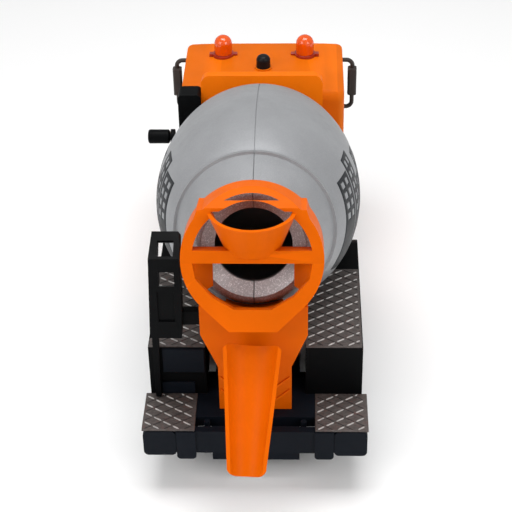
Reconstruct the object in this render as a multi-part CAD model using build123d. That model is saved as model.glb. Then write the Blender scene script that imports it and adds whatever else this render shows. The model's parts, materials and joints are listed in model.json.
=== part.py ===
from build123d import *
import math
import os

# Toy truck mixer. Millimetres, +Z up, +Y towards the cab, +X to the truck's right.
# The origin is on the floor, on the centre plane, midway along the wheelbase area.

# ---- driving dimensions ----
HALF_WIDTH = 56.0                 # over the rear steps
REAR_Y = -150.0                   # rear face of the bumper
STEP_FRONT_Y = -122.0             # where the lower steps end and the fenders begin
STEP_Z = 40.0                     # top of the lower steps
DECK_Z = 70.5                     # top of the upper tread plates
WALL = 2.2                        # usual moulded wall
RUN = 0.05                        # radial clearance of a shaft in its bore
GAP = 0.5                         # clearance between separate moving bodies

WHEEL_R = 21.0
REAR_TYRE_W = 20.0
FRONT_TYRE_W = 14.0
TYRE_OUTER_X = {"front": 47.0, "mid": 53.0, "rear": 53.0}
AXLE_Y = {"front": 84.0, "mid": -42.0, "rear": -90.0}
AXLE_R = 1.75
ARCH_R = WHEEL_R + 3.0

FRAME_HALF = 22.0
FRAME_Z = (13.0, 34.0)

# drum: its own frame has z pointing out of the mouth along the axis and y upwards
TILT = 15.0
MOUTH_Y, MOUTH_Z = -118.0, 127.0
DRUM_LENGTH = 154.0
DRUM_WALL = 2.0
MOUTH_R, MOUTH_RIM_R, NECK_R = 18.7, 25.1, 29.4
NECK_DEPTH = 3.5
CONE_END = (38.7, 25.2)
RIDGE_DEPTH, RIDGE_R, RIDGE_W = 27.0, 40.3, 2.8
SEAM_HALF, SEAM_DEPTH = 0.22, 0.5
BARREL = [(39.9, 28.8), (49.0, 48.0), (53.3, 74.0), (53.6, 97.0), (51.3, 121.0)]
SHOULDER = (46.0, 143.0)
DISH = (38.5, 150.5)
FRONT_PLATE_R = 24.0

# hopper hood and collector ring, in the drum's frame
RING_R, RING_IN_R, RING_FACE_R = 33.5, 31.0, 28.2
RING_BACK, RING_FRONT = 17.5, -1.0
SEAM_V = -1.5
BAR_TOP_V = 4.8
HOPPER_RIM_R, HOPPER_RIM_Z, HOPPER_Y = 21.4, 153.5, -122.7

# pedestals
PED_HALF, PED_BACK_Y, PED_FRONT_Y = 18.0, -134.0, -120.0
BOX_HALF, BOX_TOP_Z, BOX_FRONT_Y = 34.7, 133.0, 48.5
BOX_FACE_DEPTH = 156.0

# crank drive: face gear on the drum, pinion on the crank shaft
MODULE = 0.8
CROWN_TEETH, PINION_TEETH = 30, 10
CROWN_R = MODULE * CROWN_TEETH / 2
PINION_R = MODULE * PINION_TEETH / 2
TOOTH_HALF = 0.45
CROWN_PITCH_DEPTH = 162.0
CRANK_DEPTH = CROWN_PITCH_DEPTH + PINION_R
CRANK_SHAFT_R = 2.5
KNOB_OFFSET = (-17.3, 21.1)
KNOB_R = 4.0
KNOB_X = (-64.4, -52.0)
ARM_X = (-51.5, -49.1)
SCREW_R = 1.3

# cab
CAB_HALF, CAB_BACK_Y, CAB_FRONT_Y, CAB_ROOF_Z = 47.5, 52.0, 122.0, 120.0
CAB_BOTTOM_Z = 27.0
CAB_WALL = 2.4
ROOF_CROWN_R = 405.0
BEACON_X, BEACON_Y, BEACON_R = 24.6, 98.5, 5.4
BUTTON_Y, BUTTON_R, BUTTON_TRAVEL = 80.5, 4.15, 2.0
BOARD_Z = CAB_ROOF_Z - 19.0

# chute
CHUTE_PIN_Y, CHUTE_PIN_Z = -141.2, 76.4
CHUTE_SLOPE = 45.0
CHUTE_REST_SWIVEL = -3.2
CHUTE_LENGTH = 62.0
CHUTE_TOP, CHUTE_END = (14.2, 9.5), (9.0, 7.5)

# ladder
LADDER_X = (-51.2, -34.3)
LADDER_Y = (-131.0, -123.0)
LADDER_Z = (82.5, 129.5)
LADDER_TOP = (-117.5, 136.2)
LADDER_PIN_Y, LADDER_PIN_Z = -124.0, 91.5

SCREW_SPOTS = [(side * x, y) for x, y in ((16.0, 40.0), (11.0, -128.6)) for side in (-1, 1)]

AXIS_Y, AXIS_Z = math.cos(math.radians(TILT)), -math.sin(math.radians(TILT))
DRUM = Plane(origin=(0, MOUTH_Y, MOUTH_Z), x_dir=(1, 0, 0), z_dir=(0, -AXIS_Y, -AXIS_Z)).location


# ---- helpers ----
def on_axis(depth):
    """The (Y, Z) of a point on the drum's axis at a depth behind the mouth."""
    return MOUTH_Y + depth * AXIS_Y, MOUTH_Z + depth * AXIS_Z


def block(x, y, z):
    """A box between the given low and high corners."""
    low, high = zip(x, y, z)
    return Pos(*low) * Box(*(b - a for a, b in zip(low, high)), align=(Align.MIN,) * 3)


def side_prism(points, x):
    """A closed outline in (Y, Z), extruded from x[0] to x[1]."""
    face = make_face(Polyline(*points, close=True))
    return Pos(x[0], 0, 0) * extrude(Plane.YZ * face, x[1] - x[0])


def rear_prism(face, y):
    """A face drawn in (X, Z), extruded from y[0] to y[1]."""
    return Pos(0, y[1], 0) * extrude(Plane.XZ * face, y[1] - y[0])


def x_rod(radius, x, y, z):
    """A round bar along X."""
    return Pos((x[0] + x[1]) / 2, y, z) * Rot(0, 90, 0) * Cylinder(radius, x[1] - x[0])


def z_rod(radius, x, y, z):
    """A round bar along Z from z[0] to z[1]."""
    return Pos(x, y, (z[0] + z[1]) / 2) * Cylinder(radius, z[1] - z[0])


def drum_rod(radius, start, end):
    """A round bar on the drum's axis between two depths."""
    return DRUM * Pos(0, 0, -(start + end) / 2) * Cylinder(radius, end - start)


def left_of(shape):
    """The mirror image on the other side of the centre plane."""
    return mirror(shape, about=Plane.YZ)


def group(solids):
    return Compound(children=list(solids))


def round_edges(shape, axis, radius, where=lambda edge: True):
    """Fillet the edges that run along an axis and pass the test."""
    chosen = [edge for edge in shape.edges().filter_by(axis) if where(edge)]
    return fillet(chosen, radius)


# ---- drum ----
def drum_profile(inset):
    """Half section of the drum as radius and height, inset from its outer skin."""
    def at(radius, depth):
        return radius, -depth
    shoulder = at(SHOULDER[0] - inset, SHOULDER[1] - inset / 2)
    front = at(FRONT_PLATE_R - inset / 2, DRUM_LENGTH - inset)
    barrel = [at(r - inset, d) for r, d in BARREL] + [shoulder]
    if inset > 0:
        nose = [at(0, 6.5), at(NECK_R - inset, 6.5), barrel[0]]
    else:
        nose = [at(0, 4.5 + inset), at(MOUTH_R, 4.5 + inset), at(MOUTH_RIM_R, inset),
                at(NECK_R - inset, NECK_DEPTH + inset), at(CONE_END[0] - inset, CONE_END[1]), barrel[0]]
    middle = at(DISH[0] - inset * 0.7, DISH[1] - inset * 0.7)
    return make_face([
        Polyline(*nose),
        Spline(*barrel),
        ThreePointArc(shoulder, middle, front),
        Polyline(front, at(0, DRUM_LENGTH - inset), nose[0]),
    ])


def drum_solid(grow):
    """The space the turning drum sweeps, grown by a clearance, in the drum's frame."""
    ring = Pos(0, 0, -RIDGE_DEPTH) * Cylinder(RIDGE_R + grow, RIDGE_W + 2 * grow)
    return revolve(Plane.XZ * drum_profile(-grow), Axis.Z) + ring


def drum_half(side):
    """One moulded half of the drum, with its raised ring and half of the shallow seam groove."""
    shell = drum_solid(0) - revolve(Plane.XZ * drum_profile(DRUM_WALL), Axis.Z)
    mouth = Pos(0, 0, -5) * Cylinder(MOUTH_R, 20)
    hub = Pos(0, 0, -DRUM_LENGTH) * Cylinder(6.0, 20)
    half = Pos(side * 60, 0, -80) * Box(120, 140, 200)
    seam = Pos(0, 0, -80) * Box(2 * SEAM_HALF, 140, 200) - revolve(Plane.XZ * drum_profile(SEAM_DEPTH), Axis.Z)
    return DRUM * (((shell - mouth - hub) & half) - seam)


def drum_shaft():
    """Plug that joins the two halves at the front and turns in the pedestal's bearing."""
    plug = drum_rod(6.0, DRUM_LENGTH - DRUM_WALL, 158.6)
    flange = drum_rod(11.0, 149.5, DRUM_LENGTH - DRUM_WALL)
    spigot = drum_rod(4.0, 158.6, 162.4)
    return plug + flange + spigot


def crown_gear():
    """Face gear: a disc whose teeth point forward at the pinion."""
    face_depth = CROWN_PITCH_DEPTH - MODULE * 1.25
    disc = drum_rod(CROWN_R + 1.5, 158.8, face_depth) - drum_rod(4.0, 150, 170)
    height = MODULE * 2.1
    foot, tip = TOOTH_HALF, TOOTH_HALF * 0.55
    outline = [(-foot, 0), (foot, 0), (tip, -height), (-tip, -height)]
    tooth = Pos(CROWN_R - 1.5, 0, -face_depth) * extrude(Plane.YZ * make_face(Polyline(*outline, close=True)), 3.0)
    teeth = [DRUM * Rot(0, 0, 180 + i * 360 / CROWN_TEETH) * tooth for i in range(CROWN_TEETH)]
    return disc + teeth


# ---- crank ----
def crank_shaft():
    y, z = on_axis(CRANK_DEPTH)
    rod = x_rod(CRANK_SHAFT_R, (ARM_X[0] + 1.0, 33.0), y, z)
    collar = x_rod(4.2, (26.0, 27.6), y, z)
    return rod + collar


def crank_pinion():
    """Ten-tooth pinion with a tooth gap facing the crown gear at rest."""
    y, z = on_axis(CRANK_DEPTH)
    root = PINION_R - MODULE * 1.25
    height = MODULE * 2.1
    foot, tip = TOOTH_HALF, TOOTH_HALF * 0.55
    outline = [(-foot, root - 0.3), (foot, root - 0.3), (tip, root + height), (-tip, root + height)]
    tooth = extrude(Plane.YZ * make_face(Polyline(*outline, close=True)), 3.0)
    x0 = -CROWN_R - 1.5
    hub = x_rod(root, (x0 - 3.0, x0 + 3.0), y, z) - x_rod(CRANK_SHAFT_R, (x0 - 5, x0 + 5), y, z)
    towards_crown = 90 - TILT
    teeth = [Pos(x0, y, z) * Rot(towards_crown + (i + 0.5) * 360 / PINION_TEETH, 0, 0) * tooth
             for i in range(PINION_TEETH)]
    return hub + teeth - x_rod(CRANK_SHAFT_R, (x0 - 5, x0 + 5), y, z)


def crank_arm():
    """Flat arm from the shaft to the knob, with the stub that the knob turns on."""
    y, z = on_axis(CRANK_DEPTH)
    ky, kz = y + KNOB_OFFSET[0], z + KNOB_OFFSET[1]
    ends = x_rod(5.2, ARM_X, y, z) + x_rod(KNOB_R + 0.2, ARM_X, ky, kz)
    angle = math.degrees(math.atan2(KNOB_OFFSET[1], KNOB_OFFSET[0]))
    reach = math.hypot(*KNOB_OFFSET)
    web = Pos(sum(ARM_X) / 2, (y + ky) / 2, (z + kz) / 2) * Rot(angle, 0, 0) * Box(ARM_X[1] - ARM_X[0], reach, 6.4)
    stub = x_rod(1.6, (KNOB_X[0] + 2.0, ARM_X[0]), ky, kz) + x_rod(1.9, (KNOB_X[0] + 2.0, KNOB_X[0] + 3.0), ky, kz)
    return ends + web + stub - x_rod(CRANK_SHAFT_R, (ARM_X[0] + 1.0, ARM_X[1] + 1), y, z)


def crank_knob():
    y, z = on_axis(CRANK_DEPTH)
    ky, kz = y + KNOB_OFFSET[0], z + KNOB_OFFSET[1]
    knob = x_rod(KNOB_R, KNOB_X, ky, kz)
    knob = fillet(knob.edges().filter_by(GeomType.CIRCLE), 1.3)
    snap_groove = x_rod(1.9 + RUN, (KNOB_X[0] + 1.6, KNOB_X[0] + 3.4), ky, kz)
    return knob - x_rod(1.6 + RUN, (KNOB_X[0] + 2.0, KNOB_X[1] + 1), ky, kz) - snap_groove


# ---- front pedestal ----
def box_face_y(z, depth=BOX_FACE_DEPTH):
    """Y of the pedestal's sloped rear face, which is square to the drum's axis."""
    y0, z0 = on_axis(depth)
    return y0 + (z - z0) * math.tan(math.radians(TILT))


def front_pedestal():
    """Housing with a sloped rear face that carries the drum and the crank shaft."""
    def shape(inset, front):
        low, high = FRAME_Z[1] + inset, BOX_TOP_Z - inset
        deep = BOX_FACE_DEPTH + inset
        points = [(box_face_y(low, deep), low), (front, low), (front, high), (box_face_y(high, deep), high)]
        solid = side_prism(points, (-BOX_HALF + inset, BOX_HALF - inset))
        return round_edges(solid, Axis.Y, 5.0 - inset, lambda e: e.center().Z > 100)
    outer = shape(0, BOX_FRONT_Y)
    housing = outer - shape(WALL, BOX_FRONT_Y + 1)
    y, z = on_axis(CRANK_DEPTH)
    housing += drum_rod(9.5, BOX_FACE_DEPTH - 0.6, BOX_FACE_DEPTH + WALL)
    housing -= drum_rod(6.0 + RUN, 150, 160)
    housing += x_rod(5.0, (28.0, BOX_HALF), y, z)
    housing -= x_rod(CRANK_SHAFT_R + RUN, (-BOX_HALF - 1, 33.4), y, z)
    bosses = [z_rod(3.2, side * 16.0, 40.0, (FRAME_Z[1], 44.0)) for side in (-1, 1)]
    bores = [z_rod(SCREW_R, side * 16.0, 40.0, (FRAME_Z[1] - 1, 40.0)) for side in (-1, 1)]
    return housing + bosses - bores


def pedestal_cover():
    """Front plate that closes the gear housing."""
    plate = block((-BOX_HALF, BOX_HALF), (BOX_FRONT_Y, BOX_FRONT_Y + 2.0), (FRAME_Z[1], BOX_TOP_Z))
    return round_edges(plate, Axis.Y, 5.0, lambda e: e.center().Z > 100)


def air_stack():
    """Plain black box section beside the pedestal; the crank shaft passes through it."""
    y, z = on_axis(CRANK_DEPTH)
    body = block((-47.8, -BOX_HALF), (37.0, 48.5), (FRAME_Z[1], 125.0))
    body = round_edges(body, Axis.Y, 2.5, lambda e: e.center().Z > 100)
    return body - x_rod(CRANK_SHAFT_R + GAP, (-50, -30), y, z)


# ---- hopper and collector ----
def ring_outline():
    """Outer outline of the hood: a circle with two flat-sided ears."""
    ears = make_face(Polyline((-33.2, 0), (-25.3, 24.6), (25.3, 24.6), (33.2, 0), close=True))
    return make_face(CenterArc((0, 0), RING_R, 0, 360)) + ears


def hood_clip():
    """Everything above the seam and below the sloped cut behind the arch, in the drum's frame."""
    outline = [(RING_FRONT - 3, SEAM_V), (45, SEAM_V), (45, 2), (RING_BACK, 25.5), (8.5, RING_R + 0.5),
               (8.5, 60), (RING_FRONT - 3, 60)]
    flat = [(v, d) for d, v in outline]
    return Pos(-60, 0, 0) * extrude(Plane.YZ * make_face(Polyline(*flat, close=True)), 120)


def hopper_cone(inset):
    """Funnel solid: rim, sloped wall and spout, on a vertical axis."""
    over = 1.0 if inset else 0.0
    points = [(0, HOPPER_RIM_Z + over), (HOPPER_RIM_R - inset + over * 0.4, HOPPER_RIM_Z + over),
              (14.0 - inset, 133.5), (5.6 - inset, 127.5), (5.6 - inset, 126.0 - over), (0, 126.0 - over)]
    return Pos(0, HOPPER_Y, 0) * revolve(Plane.XZ * make_face(Polyline(*points, close=True)), Axis.Z)


def hopper_hood():
    """Arch, ears, crossbar and half funnel above the seam."""
    length = RING_BACK - RING_FRONT
    band = Pos(0, 0, RING_FRONT) * extrude(ring_outline(), length)
    bore = Pos(0, 0, RING_FRONT - 1) * extrude(make_face(CenterArc((0, 0), RING_IN_R, 0, 360)), length - 2)
    hole = Pos(0, 0, 0) * extrude(make_face(CenterArc((0, 0), RING_FACE_R, 0, 360)), 40)
    hood = (band - bore - hole) & hood_clip()
    bar = Pos(0, (SEAM_V + BAR_TOP_V) / 2, RING_BACK - 3.0) * Box(2 * RING_FACE_R + 2, BAR_TOP_V - SEAM_V, 6.0)
    hood = DRUM * (hood + (bar & hood_clip()))
    rear_half = block((-30, 30), (-160, HOPPER_Y), (110, HOPPER_RIM_Z + 2))
    return hood + (hopper_cone(0) & rear_half) - (hopper_cone(1.9) & rear_half)


def collector_outline(radius, bottom, half):
    """Circle with two tangents that run down to a flat outlet."""
    reach = radius * math.sqrt(0.5)
    wedge = make_face(Polyline((-reach, -reach), (-half, bottom), (half, bottom), (reach, -reach), close=True))
    return make_face(CenterArc((0, 0), radius, 0, 360)) + wedge


def collector_ring():
    """Lower half of the ring, with the V that feeds the chute."""
    band = Pos(0, 0, RING_FRONT) * extrude(make_face(CenterArc((0, 0), RING_R, 0, 360)), RING_BACK - RING_FRONT)
    bore = Pos(0, 0, RING_FRONT - 1) * extrude(make_face(CenterArc((0, 0), RING_IN_R, 0, 360)), 40)
    apron_front = RING_BACK - 3.0
    apron = Pos(0, 0, apron_front) * extrude(collector_outline(RING_R, -36.0, 11.4), 3.0)
    window = make_face(Polyline((-40, 40), (-40, 0), (-RING_FACE_R, 0), (-26.6, -9.5), (-19.2, -18.2),
                                (-8.8, -24.6), (8.8, -24.6), (19.2, -18.2), (26.6, -9.5), (RING_FACE_R, 0),
                                (40, 0), (40, 40), close=True))
    apron -= Pos(0, 0, apron_front - 1) * extrude(window, 6)
    ring = (band - bore) + apron
    wall = rear_prism(make_face(Polyline((19.4, 0.8), (21.2, 0.8), (28.7, 14.6), (26.9, 14.6), close=True)),
                      (-19.0, SEAM_V))
    wall &= Pos(0, 0, 8) * Cylinder(RING_IN_R + 1, 20)
    ring = ring + wall + left_of(wall)
    below = Pos(0, SEAM_V - 50, 10) * Box(100, 100, 60)
    return DRUM * (ring & below)


def rear_pedestal():
    """Flared column under the ring, with the ladder's lug and the chute's bearing lug."""
    left = [(-PED_HALF, STEP_Z), (-PED_HALF, 67.0), (-26.0, 87.0), (-26.0, 104.0)]
    outline = left + [(-x, z) for x, z in reversed(left)]
    column = rear_prism(make_face(Polyline(*outline, close=True)), (PED_BACK_Y, PED_FRONT_Y))
    inner = [(-PED_HALF + WALL, STEP_Z - 1), (-PED_HALF + WALL, 67.5), (-23.4, 86.0), (-23.4, 86.4)]
    cavity_outline = inner + [(-x, z) for x, z in reversed(inner)]
    cavity = rear_prism(make_face(Polyline(*cavity_outline, close=True)), (PED_BACK_Y + WALL, PED_FRONT_Y + 1))
    saddle = block((-14.0, 14.0), (PED_FRONT_Y - 1, -104.0), (84.0, 104.0))
    gusset = side_prism([(PED_FRONT_Y - 1, 70.0), (-104.0, 84.0), (PED_FRONT_Y - 1, 84.0)], (-3.0, 3.0))
    ring_bore = DRUM * Pos(0, 0, 10) * Cylinder(RING_R, 60)
    apron_bore = DRUM * Pos(0, 0, RING_BACK - 3.0) * extrude(collector_outline(RING_R, -36.0, 11.4), 30)
    body = column - cavity + saddle + gusset
    body -= DRUM * drum_solid(GAP)
    body -= ring_bore + apron_bore
    lug = block((-7.0, 7.0), (CHUTE_PIN_Y - 4.5, PED_BACK_Y), (58.0, 62.0))
    lug = round_edges(lug, Axis.Z, 4.0, lambda e: e.center().Y < PED_BACK_Y - 2)
    body += lug
    body -= z_rod(2.5 + RUN, 0, CHUTE_PIN_Y, (50, 70))
    ribs = [rear_prism(make_face(Polyline((7.0, z), (17.0, z + 9.0), (17.0, z + 10.4), (7.0, z + 1.4), close=True)),
                       (PED_BACK_Y - 0.8, PED_BACK_Y + 0.5)) for z in (43.0, 51.0)]
    body = body + ribs + [left_of(rib) for rib in ribs]
    body += [z_rod(3.4, side * 11.0, -128.6, (STEP_Z, 52.0)) for side in (-1, 1)]
    body -= [z_rod(SCREW_R, side * 11.0, -128.6, (STEP_Z - 1, FRAME_Z[1] - WALL + 13.0)) for side in (-1, 1)]
    boss = x_rod(4.3, (-26.0, -17.0), LADDER_PIN_Y, LADDER_PIN_Z)
    return body + boss - x_rod(2.5 + RUN, (-27, -18.5), LADDER_PIN_Y, LADDER_PIN_Z)


# ---- chute ----
def chute_section(half, depth):
    """A dished trough section: a chord on top and an arc below."""
    return make_face([ThreePointArc((-half, 0), (0, -depth), (half, 0)), Line((half, 0), (-half, 0))])


def place_chute(shape):
    """Move a chute shape, drawn along -Y with its pin at the origin, to its rest pose."""
    return Pos(0, CHUTE_PIN_Y, CHUTE_PIN_Z) * Rot(0, 0, CHUTE_REST_SWIVEL) * Rot(CHUTE_SLOPE, 0, 0) * shape


def chute():
    """Tapered trough with rounded corners and two ears for the pin."""
    rise, back = 14.0, 7.0
    def trough_solid(wall, extra):
        sections = []
        for (half, depth), y in ((CHUTE_TOP, back + extra), (CHUTE_END, back - CHUTE_LENGTH - extra)):
            sections.append(Pos(0, y, rise + extra * 0.02) * (Plane.XZ * chute_section(half - wall, depth - wall)))
        return loft(sections)
    trough = trough_solid(0, 0) - trough_solid(1.8, 0.5)
    top_half, end_half = CHUTE_TOP[0] + 0.6, CHUTE_END[0] + 0.2
    plan = make_face(Polyline((-top_half, back), (top_half, back), (end_half, back - CHUTE_LENGTH),
                              (-end_half, back - CHUTE_LENGTH), close=True))
    plan = fillet(plan.vertices(), 4.6)
    trough &= extrude(plan, 40)
    ear_outline = [(-3.4, 0), (3.4, 0), (6.0, 7.5), (-6.0, 7.5)]
    ear = side_prism(ear_outline, (5.2, 7.0)) + x_rod(3.4, (5.2, 7.0), 0, 0)
    ears = ear + left_of(ear) - x_rod(1.5, (-9, 9), 0, 0)
    return place_chute(trough + ears)


def chute_pin():
    return place_chute(x_rod(1.5, (-7.6, 7.6), 0, 0))


def chute_swivel():
    """Post that turns in the pedestal's lug and carries the chute's pin."""
    post = z_rod(4.6, 0, 0, (-14.0, 0)) + x_rod(3.6, (-4.4, 4.4), 0, 0) - x_rod(1.5 + RUN, (-8, 8), 0, 0)
    flats = [block((side * 4.4 - 2, side * 4.4 + 2), (-6, 6), (-4.2, 6)) for side in (-1.45, 1.45)]
    spigot = z_rod(2.5, 0, 0, (57.2 - CHUTE_PIN_Z, -13.9))
    snap = z_rod(2.9, 0, 0, (56.2 - CHUTE_PIN_Z, 57.4 - CHUTE_PIN_Z))
    return Pos(0, CHUTE_PIN_Y, CHUTE_PIN_Z) * Rot(0, 0, CHUTE_REST_SWIVEL) * (post - flats + spigot + snap)


# ---- ladder ----
def ladder():
    """Moulded ladder that bends forward at the top, with its leg and the arm that it hinges on."""
    (x0, x1), (rear, front), (low, knee) = LADDER_X, LADDER_Y, LADDER_Z
    top_y, top_z = LADDER_TOP
    side_view = [(rear, low), (front, low), (front, knee - 5.0), (top_y + 2.2, top_z - 4.8),
                 (top_y, top_z), (rear, knee)]
    rear_view = [(x0 + 0.4, low), (x1 - 0.9, low), (x1, low + 22.0), (x1, top_z - 2.5), (x1 - 1.6, top_z + 1),
                 (x0 + 3.4, top_z + 1), (x0 + 2.2, knee)]
    body = side_prism(side_view, LADDER_X) & rear_prism(make_face(Polyline(*rear_view, close=True)), (-140, -110))
    between = (x0 + 6.2, x1 - 3.0)
    body -= side_prism([(rear + 1.4, knee - 5.0), (rear + 1.4, top_z), (top_y - 4.6, top_z), (top_y - 4.6, top_z - 3.2),
                        (front + 9, top_z - 9.4), (front + 9, knee - 9.0), (front - 0.6, knee - 9.0)], between)
    body -= side_prism([(rear - 1, 114.2), (rear - 1, 122.0), (front + 1, knee - 8.0), (front + 1, 108.6)], between)
    body -= block((x0 + 5.2, x1 - 3.6), (rear - 1, rear + 0.9), (92.6, 110.4))
    body -= block((x0 + 4.4, x1 - 4.2), (rear + 3.0, front + 1), (low + 2.0, 111.4))
    leg_face = make_face(Polyline((x0 + 0.6, STEP_Z + 0.5), (x0 + 3.1, STEP_Z + 0.5), (x0 + 4.0, low + 1),
                                  (x0 + 0.6, low + 1), close=True))
    leg = rear_prism(leg_face, (front - 2.6, front + 0.4))
    arm = block((x1 - 2.6, -26.6), (-126.6, -122.4), (87.5, 95.5))
    hinge = x_rod(2.5, (-27.0, -18.8), LADDER_PIN_Y, LADDER_PIN_Z)
    return body + leg + arm + hinge


# ---- chassis, steps and fenders ----
def chassis_frame():
    """Channel frame with axle bosses, a centre deck and a cab floor bearer."""
    body = block((-FRAME_HALF, FRAME_HALF), (REAR_Y + 8, 114.0), FRAME_Z)
    body -= block((-FRAME_HALF + WALL, FRAME_HALF - WALL), (REAR_Y + 8 + WALL, 114.0 - WALL), (0, FRAME_Z[1] - WALL))
    body += block((-29.6, 29.6), (-140.0, STEP_FRONT_Y - 0.2), (FRAME_Z[1] - 0.2, STEP_Z))
    body += block((-24.8, 24.8), (STEP_FRONT_Y - 1, -110.0), (FRAME_Z[1] - 0.2, STEP_Z))
    body += block((-BOX_HALF - 13.2, BOX_HALF + 13.2), (30.0, 50.5), (26.0, FRAME_Z[1]))
    body += [block(sorted((side * 12.0, side * 19.0)), (58.0, 68.0), (FRAME_Z[1] - 1, 47.0)) for side in (-1, 1)]
    for name, y in AXLE_Y.items():
        reach = TYRE_OUTER_X[name] - (FRONT_TYRE_W if name == "front" else REAR_TYRE_W) - GAP
        body += x_rod(5.0, (-reach, -FRAME_HALF + WALL), y, WHEEL_R)
        body += x_rod(5.0, (FRAME_HALF - WALL, reach), y, WHEEL_R)
        body -= x_rod(AXLE_R + RUN, (-60, 60), y, WHEEL_R)
    for side in (-1, 1):
        body += block(sorted((side * 21.0, side * 25.0)), (STEP_FRONT_Y, -116.0), (26.0, STEP_Z))
        body += block(sorted((side * 21.0, side * 25.0)), (-24.0, -17.0), (26.0, FRAME_Z[1]))
    holes = [z_rod(SCREW_R, x, y, (FRAME_Z[0], STEP_Z + 1)) for x, y in SCREW_SPOTS]
    holes += [z_rod(2.6, x, y, (FRAME_Z[0] - 1, FRAME_Z[1] - WALL)) for x, y in SCREW_SPOTS]
    return body - holes


def fender_profile(inset):
    """Side outline of a fender over the two rear wheels, as (Y, Z)."""
    top, low = DECK_Z - 1.0 - inset, 26.0
    back, front = STEP_FRONT_Y + inset, -17.0 - inset
    face = make_face([
        Line((back, low), (back, top)),
        Line((back, top), (front - 14, top)),
        JernArc((front - 14, top), (1, 0), 14, -90),
        Line((front, top - 14), (front, low)),
        Line((front, low), (back, low)),
    ])
    for name in ("mid", "rear"):
        face -= Pos(AXLE_Y[name], WHEEL_R) * Circle(ARCH_R + inset)
    return face


def fender(side):
    """Moulded cover over one side's rear wheels, cut back to follow the drum."""
    x0, x1 = 25.0, 53.5
    outer = Pos(x0, 0, 0) * extrude(Plane.YZ * fender_profile(0), x1 - x0)
    inner = Pos(x0 - 1, 0, 0) * extrude(Plane.YZ * fender_profile(WALL), x1 - x0 - WALL + 1)
    shell = (outer - DRUM * drum_solid(1.4)) - (inner - DRUM * drum_solid(1.4 + WALL))
    top = max(shell.solids(), key=lambda s: s.volume)
    return top if side > 0 else left_of(top)


def rear_lockers():
    """Two locker doors on the left fender's rear face, with a recessed strip between."""
    upper = block((-46.5, -25.4), (STEP_FRONT_Y - 1.8, STEP_FRONT_Y), (55.0, 69.3))
    lower = block((-47.6, -30.7), (STEP_FRONT_Y - 1.4, STEP_FRONT_Y), (41.0, 48.0))
    return group(round_edges(door, Axis.Y, 0.6) for door in (upper, lower))


def step(side):
    """Lower step block at one rear corner."""
    body = block((29.7, HALF_WIDTH - 0.5), (REAR_Y + 3, STEP_FRONT_Y), (26.0, STEP_Z - 1.0))
    body -= block((29.7 + WALL, HALF_WIDTH - 0.5 - WALL), (REAR_Y + 3 + WALL, STEP_FRONT_Y - WALL), (20, STEP_Z - 3.2))
    return body if side > 0 else left_of(body)


def upper_tread(side):
    """Tread plate on a fender, cut back to follow the drum."""
    plate = block((25.0, 53.0), (STEP_FRONT_Y, -56.0), (DECK_Z - 1.0, DECK_Z)) - DRUM * drum_solid(1.4)
    plate = max(plate.solids(), key=lambda s: s.volume)
    return plate if side > 0 else left_of(plate)


def lower_tread(side):
    """Tread plate on a rear step."""
    plate = block((29.7, HALF_WIDTH), (REAR_Y, STEP_FRONT_Y), (STEP_Z - 1.0, STEP_Z))
    return plate if side > 0 else left_of(plate)


def rear_bumper():
    """Beam, end blocks, lugs and the two posts in the recess."""
    beam = block((-29.6, 29.6), (REAR_Y, REAR_Y + 4.0), (25.0, STEP_Z - 1.0))
    parts = [beam]
    for side in (-1, 1):
        end = block(sorted((side * 39.2, side * 55.5)), (REAR_Y - 0.5, REAR_Y + 3.0), (23.8, STEP_Z - 1.0))
        end = round_edges(end, Axis.Y, 2.5)
        lug = block(sorted((side * 29.4, side * 39.0)), (REAR_Y - 0.8, REAR_Y + 3.0), (21.5, STEP_Z - 1.0))
        lug = round_edges(lug, Axis.Y, 2.0, lambda e: e.center().Z < 30)
        link = block(sorted((side * 38.5, side * 40.0)), (REAR_Y + 0.4, REAR_Y + 3.0), (25.0, STEP_Z - 1.2))
        post = z_rod(1.5, side * 24.0, REAR_Y + 8.0, (28.0, STEP_Z - 1.0))
        foot = block(sorted((side * 22.2, side * 26.0)), (REAR_Y + 3.0, REAR_Y + 9.6), (25.0, 28.2))
        parts += [end, lug, link, post, foot]
    return Part() + parts


# ---- wheels ----
def axle(name):
    reach = TYRE_OUTER_X[name] - 3.0
    return x_rod(AXLE_R, (-reach, reach), AXLE_Y[name], WHEEL_R)


def wheel_pair(name, maker):
    width = FRONT_TYRE_W if name == "front" else REAR_TYRE_W
    right = Pos(TYRE_OUTER_X[name] - width, AXLE_Y[name], WHEEL_R) * Rot(0, 90, 0) * maker(width)
    return group([right, left_of(right)])


def tyre(width):
    """Tyre drawn from z=0 (inner face) to z=width, with tread grooves."""
    body = Pos(0, 0, width / 2) * Cylinder(WHEEL_R, width)
    body = fillet(body.edges().filter_by(GeomType.CIRCLE), 2.2)
    body -= Pos(0, 0, width / 2) * Cylinder(13.0, width + 2)
    for z in (width * 0.36, width * 0.64):
        body -= Pos(0, 0, z) * (Cylinder(WHEEL_R + 1, 1.0) - Cylinder(WHEEL_R - 0.9, 1.0))
    return body


def rim(width):
    """Dished rim with a hub and six holes."""
    body = Pos(0, 0, width / 2) * (Cylinder(13.0, width - 1.0) - Cylinder(11.2, width))
    web = Pos(0, 0, width * 0.5) * Cylinder(11.6, 2.4)
    hub = Pos(0, 0, width / 2) * Cylinder(4.2, width - 2.0)
    holes = [Rot(0, 0, i * 60) * Pos(7.7, 0, width * 0.5) * Cylinder(1.8, 6) for i in range(6)]
    return body + (web - holes) + hub - Pos(0, 0, width / 2) * Cylinder(AXLE_R, width + 2)


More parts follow.
